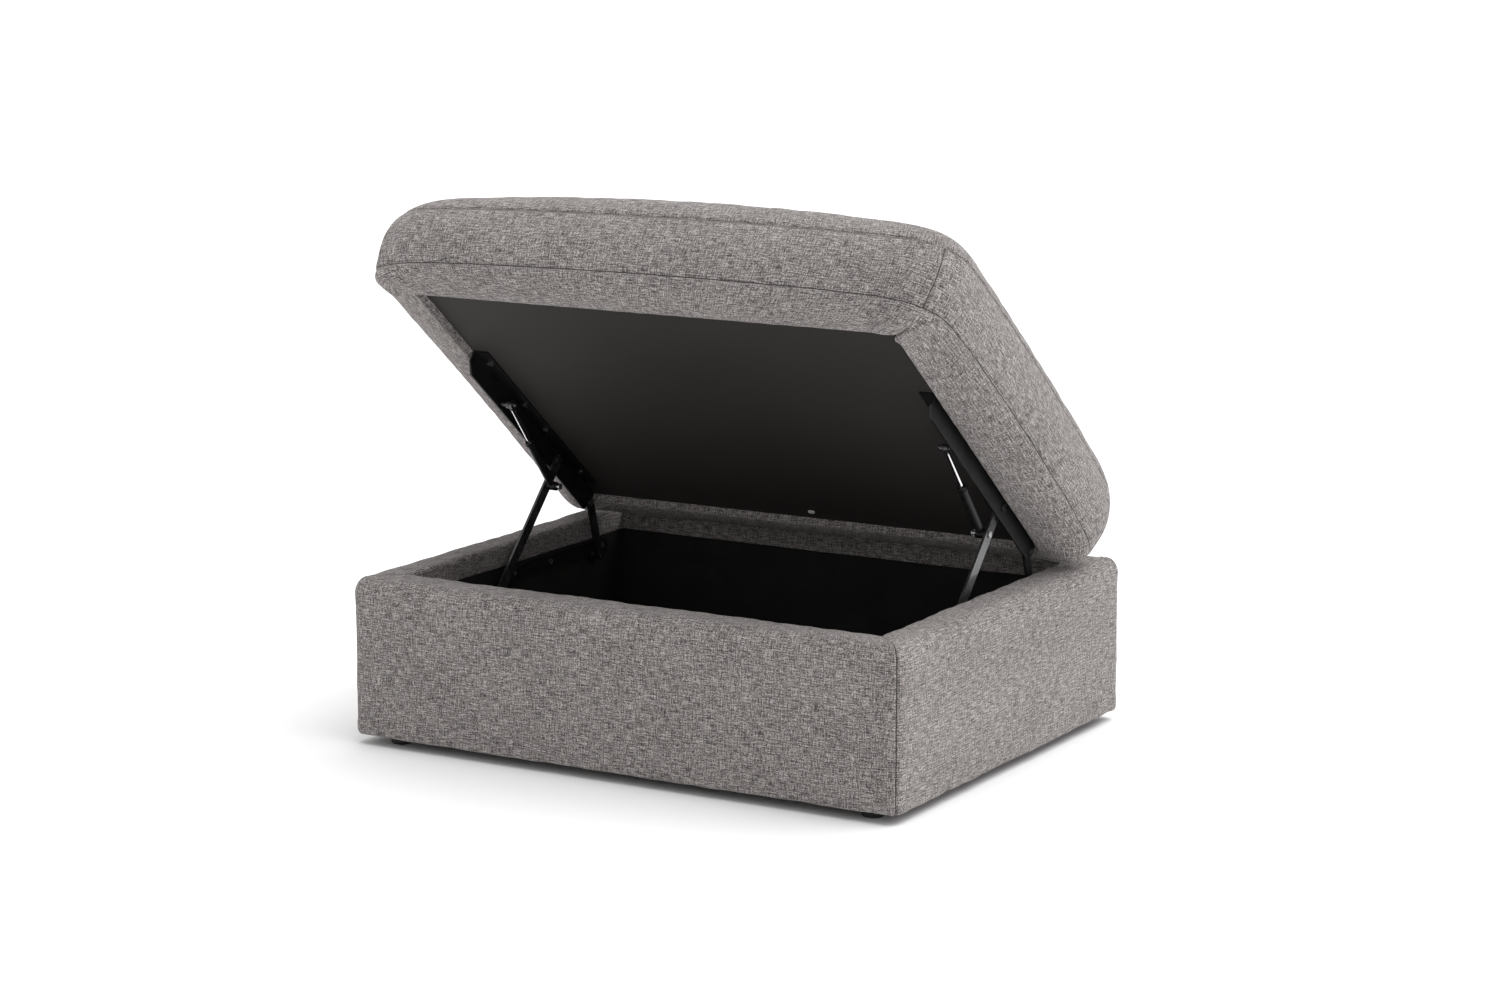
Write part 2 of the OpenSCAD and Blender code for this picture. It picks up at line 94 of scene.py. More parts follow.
def relief(d, lines):
    """Ridges and grooves at the distance d from a seam; lines holds the height, place and width of each."""
    return sum(height * bump(d - place, width) for height, place, width in lines)


def window(values, low, high, rise, fall):
    """1 between low and high, rising from 0 at low and falling to 0 at high with these slopes."""
    return np.clip((values - low) * rise, 0, 1) * np.clip((high - values) * fall, 0, 1)


def waves(x, y, seed, count=7, shortest=0.03, longest=0.2):
    """Irregular smooth waves over two lengths in metres, about -1 to 1, the same at each run."""
    rng = np.random.default_rng(seed)
    total = np.zeros(np.broadcast(x, y).shape)
    for _ in range(count):
        length = rng.uniform(shortest, longest)
        angle = rng.uniform(0, 2 * math.pi)
        phase = rng.uniform(0, 2 * math.pi)
        total += np.sin(2 * math.pi * (x * math.cos(angle) + y * math.sin(angle)) / length + phase)
    return total / math.sqrt(count) / 1.4


def interpolate(values, old, new, axis, period=None):
    """values resampled along one axis from positions old to new; with a period the axis closes on itself."""
    moved = np.moveaxis(values, axis, 0)
    flat = moved.reshape(len(old), -1)
    out = np.stack([np.interp(new, old, column, period=period) for column in flat.T], 1)
    return np.moveaxis(out.reshape((len(new),) + moved.shape[1:]), 0, axis)


def distances(points):
    """Distance of each point from the first, along the line through them."""
    return np.concatenate([[0], np.cumsum(np.linalg.norm(np.diff(points, axis=0), axis=1))])


def ring_faces(index, around, up):
    """Faces between closed rings of vertices, and their cloth coordinates from positions around and up."""
    faces, uvs = [], []
    columns = index.shape[1]
    for r in range(len(index) - 1):
        for i in range(columns):
            j = (i + 1) % columns
            faces.append((index[r, i], index[r, j], index[r + 1, j], index[r + 1, i]))
            uvs += [(around[a], up[b]) for a, b in ((i, r), (i + 1, r), (i + 1, r + 1), (i, r + 1))]
    return faces, uvs


# ---------------------------------------------------------------- cloth simulation

CLOTH_FRAMES = 20
UNEVEN_REACH = 6
UNEVEN_CAP = 0.0005


def simulate(name, verts, faces, pinned, tight, matrix, swell, pressure):
    """How far a padded cover moves outwards, in metres, under the pressure of its filling.

    The cover starts smaller by swell and is blown up against its pinned and tight-sewn lines.
    """
    obj = new_object(name, verts, faces, matrix=matrix)
    outward = normals(obj.data)
    set_coords(obj.data, verts - outward * swell * (1 - pinned)[:, None])
    pin_group = obj.vertex_groups.new(name="pinned")
    tight_group = obj.vertex_groups.new(name="tight")
    for i in np.nonzero(pinned)[0]:
        pin_group.add([int(i)], float(pinned[i]), "REPLACE")
    for i in np.nonzero(tight)[0]:
        tight_group.add([int(i)], float(tight[i]), "REPLACE")
    cloth = obj.modifiers.new("Cloth", "CLOTH")
    s = cloth.settings
    s.quality = 6
    s.mass = 0.25
    s.tension_stiffness = 12
    s.compression_stiffness = 12
    s.shear_stiffness = 6
    s.bending_stiffness = 0.8
    s.vertex_group_mass = "pinned"
    s.vertex_group_shrink = "tight"
    s.shrink_min = -0.025
    s.shrink_max = 0.012
    s.use_pressure = True
    s.uniform_pressure_force = pressure
    s.effector_weights.gravity = 0
    cloth.point_cache.frame_start = 1
    cloth.point_cache.frame_end = CLOTH_FRAMES
    for step in range(1, CLOTH_FRAMES + 1):
        bpy.context.scene.frame_set(step)
    made = obj.evaluated_get(bpy.context.evaluated_depsgraph_get()).to_mesh()
    move = coords(made) - verts
    bpy.context.scene.frame_set(1)
    mesh = obj.data
    bpy.data.objects.remove(obj)
    bpy.data.meshes.remove(mesh)
    return (move * outward).sum(1)


def unevenness(move, modes):
    """move without its broad swelling, cut smoothly to UNEVEN_CAP.

    The broad swelling is the mean over UNEVEN_REACH cells each way. modes says for each axis how it goes
    on past its ends, as np.pad does.
    """
    broad = move
    weights = np.hanning(2 * UNEVEN_REACH + 3)[1:-1]
    weights /= weights.sum()
    for axis, mode in enumerate(modes):
        width = [(0, 0)] * move.ndim
        width[axis] = (UNEVEN_REACH, UNEVEN_REACH)
        padded = np.pad(broad, width, mode=mode)
        broad = np.apply_along_axis(np.convolve, axis, padded, weights, "valid")
    return UNEVEN_CAP * np.tanh((move - broad) / UNEVEN_CAP)


# ---------------------------------------------------------------- node materials


class Shader:
    """A material's node tree with short calls for the nodes that the finishes share."""

    def __init__(self, name):
        self.material = bpy.data.materials.new(name)
        self.material.use_nodes = True
        self.tree = self.material.node_tree
        self.tree.nodes.clear()
        self.out = self.tree.nodes.new("ShaderNodeOutputMaterial")
        self.bsdf = self.tree.nodes.new("ShaderNodeBsdfPrincipled")
        self.tree.links.new(self.bsdf.outputs[0], self.out.inputs[0])

    def link(self, value, socket):
        if isinstance(value, bpy.types.NodeSocket):
            self.tree.links.new(value, socket)
        else:
            socket.default_value = value

    def set(self, **sockets):
        for key, value in sockets.items():
            self.link(value, self.bsdf.inputs[key.replace("_", " ")])
        return self

    def coordinates(self, scale, source="Object"):
        if source == "cloth":
            node = self.tree.nodes.new("ShaderNodeUVMap")
            node.uv_map = "cloth"
            vector = node.outputs[0]
        else:
            vector = self.tree.nodes.new("ShaderNodeTexCoord").outputs[source]
        mapping = self.tree.nodes.new("ShaderNodeMapping")
        self.tree.links.new(vector, mapping.inputs["Vector"])
        mapping.inputs["Scale"].default_value = scale
        return mapping.outputs[0]

    def noise(self, vector, scale=1.0, detail=3.0, roughness=0.55, distortion=0.0):
        node = self.tree.nodes.new("ShaderNodeTexNoise")
        self.tree.links.new(vector, node.inputs["Vector"])
        node.inputs["Scale"].default_value = scale
        node.inputs["Detail"].default_value = detail
        node.inputs["Roughness"].default_value = roughness
        node.inputs["Distortion"].default_value = distortion
        return node.outputs["Fac"]

    def wave(self, vector, scale, direction="X", distortion=0.0, detail=2.0):
        node = self.tree.nodes.new("ShaderNodeTexWave")
        node.bands_direction = direction
        self.tree.links.new(vector, node.inputs["Vector"])
        node.inputs["Scale"].default_value = scale
        node.inputs["Distortion"].default_value = distortion
        node.inputs["Detail"].default_value = detail
        return node.outputs["Fac"]

    def math(self, kind, a, b):
        node = self.tree.nodes.new("ShaderNodeMath")
        node.operation = kind
        self.link(a, node.inputs[0])
        self.link(b, node.inputs[1])
        return node.outputs[0]

    def total(self, *shares):
        """Sum of (value, share) pairs."""
        result = 0.0
        for value, share in shares:
            result = self.math("ADD", result, self.math("MULTIPLY", value, share))
        return result

    def ramp(self, value, *stops):
        """Colour or grey ramp through (position, colour) stops."""
        node = self.tree.nodes.new("ShaderNodeValToRGB")
        self.tree.links.new(value, node.inputs[0])
        elements = node.color_ramp.elements
        while len(elements) < len(stops):
            elements.new(0.5)
        for element, (position, colour) in zip(elements, stops):
            element.position = position
            element.color = (*colour, 1) if hasattr(colour, "__len__") else (colour, colour, colour, 1)
        return node.outputs[0]

    def bumps(self, height, distance, strength=1.0):
        node = self.tree.nodes.new("ShaderNodeBump")
        self.tree.links.new(height, node.inputs["Height"])
        node.inputs["Distance"].default_value = distance
        node.inputs["Strength"].default_value = strength
        self.tree.links.new(node.outputs[0], self.bsdf.inputs["Normal"])
        return self


def fabric_material(name):
    """Heathered taupe chenille: nubs between crossing darker yarns, uneven dyeing, and a soft nap."""
    s = Shader(name)
    nubs = s.noise(s.coordinates((400, 470, 1), "cloth"), detail=1.5, roughness=0.6)
    weft = s.noise(s.coordinates((48, 530, 1), "cloth"), detail=2, roughness=0.55)
    warp = s.noise(s.coordinates((510, 55, 1), "cloth"), detail=2, roughness=0.55)
    slub = s.noise(s.coordinates((90, 230, 1), "cloth"), detail=1)
    patch = s.noise(s.coordinates((8, 12, 1), "cloth"), detail=2)
    mix = s.total((nubs, 0.36), (weft, 0.30), (warp, 0.25), (slub, 0.05), (patch, 0.04))
    dark, low, mid, light = (
        (0.032, 0.028, 0.028), (0.125, 0.112, 0.110), (0.265, 0.242, 0.236), (0.56, 0.525, 0.51))
    colour = s.ramp(mix, (0.395, dark), (0.457, low), (0.518, mid), (0.605, light))
    height = s.total((nubs, 0.45), (weft, 0.27), (warp, 0.2), (slub, 0.08))
    s.set(Base_Color=colour, Roughness=s.ramp(mix, (0.35, 0.98), (0.65, 0.88)))
    s.set(Sheen_Weight=0.22, Sheen_Roughness=0.45, Sheen_Tint=(0.93, 0.90, 0.88, 1), Specular_IOR_Level=0.2)
    return s.bumps(height, 0.0036, 1.0).material


def thread_and_seam_shade_material(name, colour):
    """Twisted sewing thread, and the near-black lines that paint the shade in the seam grooves."""
    s = Shader(name)
    twist = s.wave(s.coordinates((1, 1, 1)), 900, "DIAGONAL", distortion=0.5)
    tone = tuple(np.array(colour) * 0.7)
    s.set(Base_Color=s.ramp(twist, (0.2, tone), (0.8, tuple(colour))), Roughness=0.85, Sheen_Weight=0.2)
    return s.bumps(twist, 0.0003, 0.6).material


def lining_material():
    """Black polypropylene lining: thin and matt, with a fine grain and creases."""
    s = Shader("black_lining_cloth")
    creases = s.noise(s.coordinates((9, 9, 14)), detail=4, distortion=0.6)
    grain = s.noise(s.coordinates((520, 520, 520)), detail=1)
    s.set(Base_Color=s.ramp(s.total((creases, 0.6), (grain, 0.4)), (0.35, (0.006, 0.0055, 0.0055)),
                            (0.7, (0.016, 0.015, 0.0145))))
    s.set(Roughness=s.ramp(grain, (0.3, 0.78), (0.7, 0.92)), Specular_IOR_Level=0.3)
    return s.bumps(s.total((creases, 0.8), (grain, 0.2)), 0.002, 0.35).material


def panel_material():
    """Black satin board that closes the lid: even, with a very fine grain and faint broad clouds of painted
    sheen.
    """
    s = Shader("black_lid_board")
    grain = s.noise(s.coordinates((640, 640, 640)), detail=2)
    # broad: faint clouds of painted sheen, mixed into the colour with the real grain
    broad = s.noise(s.coordinates((2.2, 2.2, 2.2)), detail=2)
    s.set(Base_Color=s.ramp(s.total((grain, 0.35), (broad, 0.65)), (0.3, (0.0275, 0.025, 0.0238)),
                            (0.7, (0.035, 0.032, 0.0305))))
    s.set(Roughness=s.ramp(grain, (0.3, 0.62), (0.7, 0.74)), Specular_IOR_Level=0.15)
    return s.bumps(grain, 0.0002, 0.3).material


def powder_coat():
    """Black powder coat on steel: fine orange peel, rubbed in patches."""
    s = Shader("black_powder_coat")
    peel = s.noise(s.coordinates((900, 900, 900)), detail=2)
    rubbed = s.noise(s.coordinates((60, 60, 60)), detail=3)
    s.set(Base_Color=s.ramp(rubbed, (0.35, (0.005, 0.005, 0.0052)), (0.75, (0.011, 0.011, 0.0115))))
    s.set(Roughness=s.ramp(s.total((peel, 0.4), (rubbed, 0.6)), (0.35, 0.34), (0.7, 0.50)))
    s.set(Specular_IOR_Level=0.3)
    return s.bumps(peel, 0.0002, 0.35).material


def glossy_coat_painted_highlight():
    """Black enamelled flat bar, rolled smooth, so that it takes a broad highlight; its dark grey base colour,
    well above the other black steel, is a painted highlight.
    """
    s = Shader("black_enamelled_bar")
    rolled = s.noise(s.coordinates((60, 60, 8)), detail=3)
    # base colour lifted to dark grey: painted highlight where the front links catch the light
    s.set(Base_Color=s.ramp(rolled, (0.35, (0.03, 0.03, 0.031)), (0.75, (0.065, 0.065, 0.067))), Metallic=0.4)
    s.set(Roughness=s.ramp(rolled, (0.35, 0.22), (0.7, 0.34)), Specular_IOR_Level=0.8, Coat_Weight=0.5)
    return s.bumps(rolled, 0.0002, 0.2).material


def chrome():
    """Ground and chromed rod with faint turning marks."""
    s = Shader("chromed_rod")
    marks = s.noise(s.coordinates((1600, 1600, 1600)), detail=1)
    s.set(Base_Color=s.ramp(marks, (0.3, (0.80, 0.80, 0.82)), (0.7, (0.92, 0.92, 0.93))), Metallic=1.0)
    s.set(Roughness=s.ramp(marks, (0.3, 0.07), (0.7, 0.14)))
    return s.bumps(marks, 0.00005, 0.2).material


def zinc():
    """Zinc-plated steel of screws, rivets and studs, slightly dull and uneven."""
    s = Shader("zinc_plated_steel")
    cloud = s.noise(s.coordinates((210, 210, 210)), detail=3)
    s.set(Base_Color=s.ramp(cloud, (0.3, (0.33, 0.33, 0.34)), (0.7, (0.60, 0.60, 0.62))), Metallic=1.0)
    s.set(Roughness=s.ramp(cloud, (0.3, 0.24), (0.7, 0.42)))
    return s.bumps(cloud, 0.0002, 0.3).material


def black_rivet():
    """Blackened steel, worn brighter in patches."""
    s = Shader("blackened_rivets")
    cloud = s.noise(s.coordinates((260, 260, 260)), detail=3)
    s.set(Base_Color=s.ramp(cloud, (0.35, (0.03, 0.03, 0.032)), (0.75, (0.16, 0.16, 0.17))), Metallic=0.8)
    s.set(Roughness=s.ramp(cloud, (0.3, 0.22), (0.7, 0.36)))
    return s.bumps(cloud, 0.0002, 0.3).material


def screw_cap():
    """Pale moulded cap of the panel's screw."""
    s = Shader("pale_screw_cap")
    cloud = s.noise(s.coordinates((300, 300, 300)), detail=2)
    s.set(Base_Color=s.ramp(cloud, (0.3, (0.78, 0.78, 0.76)), (0.7, (0.88, 0.88, 0.86))))
    s.set(Roughness=s.ramp(cloud, (0.3, 0.36), (0.7, 0.46)))
    return s.bumps(cloud, 0.0001, 0.2).material


def foot_plastic():
    """Black moulded plastic with a fine spark-eroded grain and scuffs."""
    s = Shader("black_foot_plastic")
    grain = s.noise(s.coordinates((700, 700, 700)), detail=2)
    scuff = s.noise(s.coordinates((40, 40, 160)), detail=4)
    s.set(Base_Color=s.ramp(scuff, (0.4, (0.008, 0.008, 0.008)), (0.75, (0.022, 0.021, 0.020))))
    s.set(Roughness=s.ramp(grain, (0.3, 0.42), (0.7, 0.58)))
    return s.bumps(grain, 0.0002, 0.4).material


def timber():
    """Planed pine with growth rings and darker streaks."""
    s = Shader("planed_pine")
    rings = s.wave(s.coordinates((6, 6, 40)), 1.3, "Z", distortion=5.0, detail=3)
    streak = s.noise(s.coordinates((12, 12, 260)), detail=4)
    s.set(Base_Color=s.ramp(s.total((rings, 0.6), (streak, 0.4)), (0.25, (0.36, 0.21, 0.10)),
                            (0.6, (0.62, 0.43, 0.24)), (0.85, (0.74, 0.56, 0.35))))
    s.set(Roughness=s.ramp(streak, (0.3, 0.55), (0.7, 0.72)))
    return s.bumps(streak, 0.0004, 0.4).material


def fibreboard():
    """Pressed board: flecked brown fibres."""
    s = Shader("pressed_fibreboard")
    fibre = s.noise(s.coordinates((320, 320, 900)), detail=3, roughness=0.7)
    cloud = s.noise(s.coordinates((14, 14, 14)), detail=3)
    s.set(Base_Color=s.ramp(s.total((fibre, 0.6), (cloud, 0.4)), (0.3, (0.20, 0.12, 0.06)),
                            (0.7, (0.46, 0.31, 0.18))))
    s.set(Roughness=s.ramp(fibre, (0.3, 0.70), (0.7, 0.85)))
    return s.bumps(fibre, 0.0004, 0.4).material


FABRIC = fabric_material("taupe_chenille")
# near-black lines laid along the lower and corner seams: painted shade of the seam grooves
SEAM_SHADE_LINE = thread_and_seam_shade_material("dark_seam_thread", (0.03, 0.027, 0.026))
TOP_THREAD = thread_and_seam_shade_material("taupe_topstitch_thread", (0.30, 0.275, 0.265))
LINING = lining_material()
PANEL = panel_material()
BLACK_STEEL = powder_coat()
GLOSSY_PAINTED_HIGHLIGHT_STEEL = glossy_coat_painted_highlight()
CHROME = chrome()
ZINC = zinc()
RIVET = black_rivet()
CAP = screw_cap()
FOOT = foot_plastic()
TIMBER = timber()
FIBREBOARD = fibreboard()


def dress(material, *names):
    """Gives CAD nodes a finish; a name may be a prefix of several nodes."""
    for node, obj in NODES.items():
        if any(node == n or node.startswith(n + "_") for n in names):
            obj.data.materials.clear()
            obj.data.materials.append(material)


dress(LINING, "lining", "floor_lining", "dust_cover")
dress(PANEL, "lid_panel")
dress(BLACK_STEEL, "lid_rail", "base_bracket", "rear_link", "strut_cylinder", "strut_socket")
# the front links get a lighter black than the rest of the steel: painted highlight
dress(GLOSSY_PAINTED_HIGHLIGHT_STEEL, "front_link")
dress(CHROME, "strut_rod")
dress(ZINC, "foot_bolts", "bracket_screws", "rail_screws", "strut_stud")
dress(RIVET, "base_rivets", "lid_rivets", "rear_link_rivet", "strut_rod_end")
dress(CAP, "panel_screw")
dress(FOOT, "foot_front", "foot_back")
dress(TIMBER, "top_rails", "bottom_rails", "corner_posts", "bracket_plank", "lid_battens")
dress(FIBREBOARD, "outer_panels", "floor_board", "lid_board")

# ---------------------------------------------------------------- the lid's own frame

RECESS_DEPTH = 0.014


def lid_frame():
    """Matrix from the lid's own frame to the world, the black panel's half width, and its length."""
    mesh = NODES["lid_panel"].data
    widest = max((p for p in mesh.polygons if p.normal.z < 0), key=lambda p: p.area)
    up = -widest.normal
    across = Vector((1, 0, 0))
    along = up.cross(across)
    local = [Vector((v.co.dot(across), v.co.dot(along), v.co.dot(up))) for v in mesh.vertices]
    rear = max(p.y for p in local)
    front = min(p.y for p in local)
    under = min(p.z for p in local)
    turn = Matrix((across, along, up)).transposed()
    origin = turn @ Vector((0, rear, under - RECESS_DEPTH))
    half = max(p.x for p in local)
    return Matrix.Translation(origin) @ turn.to_4x4(), half, rear - front


LID, PANEL_HALF, PANEL_LENGTH = lid_frame()

# ---------------------------------------------------------------- lid cushion

LID_HALF_X = 0.517
LID_HALF_Y = 0.3925
LID_MIDDLE_Y = -0.3175
# the lower seam's height over the underside at the corners, how much higher it runs in the middle of each
# side, and how much it climbs to the right
LOW_SEAM = 0.026
LOW_SEAM_RISE = 0.012
LOW_SEAM_LEAN = 0.003
# the border's height between its seams, and how far it bulges
BORDER_HEIGHT = 0.104
BORDER_BULGE = 0.009
SHOULDER_R = 0.073
MOST_SEAM_TURN = 1.2
# the top's height in its middle, how far it falls at the reach from it, and how much it climbs to the right
CROWN_H = 0.211
CROWN_FALL_X = 0.0255
CROWN_FALL_Y = 0.0055
CROWN_REACH_X = 0.454
CROWN_REACH_Y = 0.345
CROWN_LEAN = 0.012
# the turned-in edge round the black panel
LIP_INSET = 0.0015
LIP_TUCK = 0.0025
LIP_ROLL = 0.004
LIP_ROLL_FROM = 0.97
# plan and section roundness: higher means squarer
ROUND_LOW = 12.0
ROUND_TOP = 14.0
BAND_ROUND = 1.11
# mesh steps of the trial cover, of the fine cover and near the fine cover's corners
COARSE = 0.011
FINE = 0.009
FINE_CORNER = 0.003
CORNER_REACH = 0.085
# the underside is flattened at this height, over this distance, where it rests on the rim
REST_H = 0.0014
REST_SOFT = 0.0008


def outline(u, v, half_x, half_y, roundness):
    """Point of a rounded rectangle for a point (u, v) on the unit square; higher roundness is squarer."""
    k = (np.abs(u) ** roundness + np.abs(v) ** roundness) ** (-1 / roundness)
    return half_x * u * k, LID_MIDDLE_Y + half_y * v * k


def crown(x, y):
    """Height of the lid's top over its underside."""
    fall_x = CROWN_FALL_X * (x / CROWN_REACH_X) ** 2
    fall_y = CROWN_FALL_Y * ((y - LID_MIDDLE_Y) / CROWN_REACH_Y) ** 2
    return CROWN_H - fall_x - fall_y + CROWN_LEAN * x


def lid_ring(part, s, u, v):
    """Ring of the lid's cover: part is lip, band, border or shoulder, and s runs from 0 to 1 up each."""
    mid_side = 1 - np.minimum(np.abs(u), np.abs(v)) ** 2
    low = LOW_SEAM + LOW_SEAM_RISE * mid_side + LOW_SEAM_LEAN * u
    half_x = PANEL_HALF + LIP_INSET
    half_y = PANEL_LENGTH / 2 + LIP_INSET
    if part == "lip":
        x = (half_x - LIP_TUCK * (s == 0)) * u
        y = -PANEL_LENGTH / 2 + (half_y - LIP_TUCK * (s == 0)) * v
        roll = LIP_ROLL * (1 - math.cos(math.pi / 2 * s))
        x += roll * np.sign(u) * (np.abs(u) > LIP_ROLL_FROM)
        y += roll * np.sign(v) * (np.abs(v) > LIP_ROLL_FROM)
        return np.stack([x, y, np.full_like(x, (RECESS_DEPTH + LIP_TUCK) * (1 - s))], -1)
    if part == "band":
        inner = lid_ring("lip", 1.0, u, v)
        ox, oy = outline(u, v, LID_HALF_X, LID_HALF_Y, ROUND_LOW)
        turn = math.pi / 2 * s
        out = math.sin(turn) ** BAND_ROUND
        up = 1 - math.cos(turn) ** BAND_ROUND
        x = inner[..., 0] + (ox - inner[..., 0]) * out
        y = inner[..., 1] + (oy - inner[..., 1]) * out
        return np.stack([x, y, low * up], -1)
    inner_x, inner_y = outline(u, v, LID_HALF_X - SHOULDER_R, LID_HALF_Y - SHOULDER_R, ROUND_TOP)
    centre_h = crown(inner_x, inner_y) - SHOULDER_R
    straight = np.maximum(centre_h - low, 0)
    seam_turn = np.clip((BORDER_HEIGHT - straight) / SHOULDER_R, 0, MOST_SEAM_TURN)
    if part == "border":
        length = s * BORDER_HEIGHT
        turn = np.maximum(length - straight, 0) / SHOULDER_R
        h = np.where(length < straight, low + length, centre_h + SHOULDER_R * np.sin(turn))
        bulge = BORDER_BULGE * math.sin(math.pi * s)
        roundness = ROUND_LOW + (ROUND_TOP - ROUND_LOW) * s
    else:
        turn = seam_turn + (math.pi / 2 - seam_turn) * s
        h = centre_h + SHOULDER_R * np.sin(turn)
        bulge = 0
        roundness = ROUND_TOP
    inset = SHOULDER_R * (1 - np.cos(turn)) - bulge
    x, y = outline(u, v, LID_HALF_X - inset, LID_HALF_Y - inset, roundness)
    return np.stack([x, y, h], -1)


def square_lines(length, step, fine):
    """Positions from -1 to 1 along a side of that length, about step apart.

    There are extra ones at the distances fine from its ends.
    """
    even = np.linspace(-1, 1, round(length / step) + 1)
    extra = [1 - 2 * f / length for f in fine]
    inside = [e for e in even[1:-1] if abs(e) < min(extra + [1]) - 0.5 * step / length]
    return np.array(sorted([-1, 1] + inside + extra + [-e for e in extra]))


def perimeter(us, vs):
    """Unit-square boundary points, counter-clockwise from the front left, and a position 0 to 4 for each."""
    u = np.concatenate([us[:-1], np.ones(len(vs) - 1), us[:0:-1], -np.ones(len(vs) - 1)])
    v = np.concatenate([-np.ones(len(us) - 1), vs[:-1], np.ones(len(us) - 1), vs[:0:-1]])
    rising = [side + (line[:-1] + 1) / 2 for side, line in ((0, us), (1, vs))]
    falling = [side + (1 - line[:0:-1]) / 2 for side, line in ((2, us), (3, vs))]
    t = np.concatenate(rising + falling)
    return u, v, t


PARTS = ("lip", "band", "border", "shoulder")
# a level's position q is its part's index plus its share of it, so the border starts and ends at the seams
LOW_SEAM_Q = PARTS.index("border")
HIGH_SEAM_Q = PARTS.index("shoulder")
PINNED_TO = 1.3
TRIAL_LEVELS = (2, 8, 10, 8)


def lid_arrays(us, vs, levels):
    """Rings (level, column, xyz), the top's grid (u, v, xyz), and the positions of levels and columns."""
    u, v, t = perimeter(us, vs)
    rings = np.stack([lid_ring(part, s, u, v) for part, s in levels])
    q = np.array([PARTS.index(part) + s for part, s in levels])
    gu, gv = np.meshgrid(us, vs, indexing="ij")
    m = np.maximum(np.maximum(np.abs(gu), np.abs(gv)), 1e-9)
    bx, by = outline(gu / m, gv / m, LID_HALF_X - SHOULDER_R, LID_HALF_Y - SHOULDER_R, ROUND_TOP)
    x = bx * m
    y = LID_MIDDLE_Y + (by - LID_MIDDLE_Y) * m
    return rings, np.stack([x, y, crown(x, y)], -1), q, t


def lid_mesh(rings, top):
    """Vertices, faces and cloth coordinates of the lid's cover; the last ring edges the top's grid."""
    count, columns = rings.shape[:2]
    nu, nv = top.shape[:2]
    side = rings[:-1].reshape(-1, 3)
    verts = np.concatenate([side, top.reshape(-1, 3)])
    grid = len(side) + np.arange(nu * nv).reshape(nu, nv)
    border = np.concatenate([grid[:-1, 0], grid[-1, :-1], grid[:0:-1, -1], grid[0, :0:-1]])
    index = np.concatenate([np.arange(len(side)).reshape(count - 1, columns), border[None]])
    middle = rings[count // 2]
    around = distances(np.concatenate([middle, middle[:1]]))
    up = distances(rings[:, columns // 8])
    faces, uvs = ring_faces(index, around, up)
    for a in range(nu - 1):
        for b in range(nv - 1):
            corners = ((a, b), (a + 1, b), (a + 1, b + 1), (a, b + 1))
            faces.append(tuple(grid[c] for c in corners))
            uvs += [(top[c][0] + 7.3, top[c][1] + 3.1) for c in corners]
    return verts, faces, uvs


def even_levels(part, count):
    return [(part, s) for s in np.linspace(0, 1, count + 1)[:-1]]


def lid_displacement(fine_q, fine_t, fine_us, fine_vs):
    """Unevenness of the lid's cover, simulated on a coarse mesh and resampled onto the fine one."""
    us = square_lines(2 * LID_HALF_X, COARSE, ())
    vs = square_lines(2 * LID_HALF_Y, COARSE, ())
    levels = [level for part, count in zip(PARTS, TRIAL_LEVELS) for level in even_levels(part, count)]
    levels.append(("shoulder", 1.0))
    rings, top, q, t = lid_arrays(us, vs, levels)
    verts, faces, _ = lid_mesh(rings, top)
    columns = rings.shape[1]
    side = (len(levels) - 1) * columns
    level_of = np.repeat(q[:-1], columns)
    pinned = np.zeros(len(verts))
    pinned[:side] = np.where(level_of < PINNED_TO, 1.0, 0.0)
    tight = np.zeros(len(verts))
    off_seam = np.minimum(np.abs(level_of - LOW_SEAM_Q), np.abs(level_of - HIGH_SEAM_Q))
    tight[:side] = np.clip(1 - 8 * off_seam, 0, 1)
    move = simulate("lid_trial", verts, faces, pinned, tight, LID, swell=0.005, pressure=4)
    top_move = unevenness(move[side:].reshape(len(us), len(vs)), ("edge", "edge"))
    rim = np.concatenate([top_move[:-1, 0], top_move[-1, :-1], top_move[:0:-1, -1], top_move[0, :0:-1]])
    side_move = np.stack([unevenness(m, ("wrap",)) for m in move[:side].reshape(-1, columns)])
    side_move = np.concatenate([side_move, rim[None]])
    fine_side = interpolate(interpolate(side_move, q, fine_q, 0), t, fine_t, 1, period=4)
    fine_top = interpolate(interpolate(top_move, us, fine_us, 0), vs, fine_vs, 1)
    return fine_side, fine_top


def add_lid_cushion():
    """The lid's cover with its seams, pleats and notch, and the positions of its levels and columns."""
    near_corner = np.arange(0.0025, CORNER_REACH, FINE_CORNER)
    us = square_lines(2 * LID_HALF_X, FINE, near_corner)
    vs = square_lines(2 * LID_HALF_Y, FINE, near_corner)
    over_seam = [0.012, 0.03, 0.06]
    under_seam = [1 - s for s in over_seam[::-1]]
    shares = {
        "lip": [0, 0.5, 0.8],
        "band": [0, 0.04, 0.1, 0.18, 0.27, 0.37, 0.48, 0.6, 0.72, 0.83] + under_seam,
        "border": [0] + over_seam + list(np.linspace(0.14, 0.86, 9)) + under_seam,
        "shoulder": [0] + over_seam + list(np.linspace(0.16, 1, 9)),
    }
    levels = [(part, s) for part in PARTS for s in shares[part]]
    rings, top, q, t = lid_arrays(us, vs, levels)
    side_move, top_move = lid_displacement(q, t, us, vs)
    verts, faces, uvs = lid_mesh(rings, top)
    obj = new_object("lid_cushion", verts, faces, uvs, FABRIC, LID)
    move = np.concatenate([side_move[:-1].ravel(), top_move.ravel()])
    set_coords(obj.data, verts + normals(obj.data) * move[:, None])
    shape_lid_details(obj, q, t, rings)
    return obj, q, t


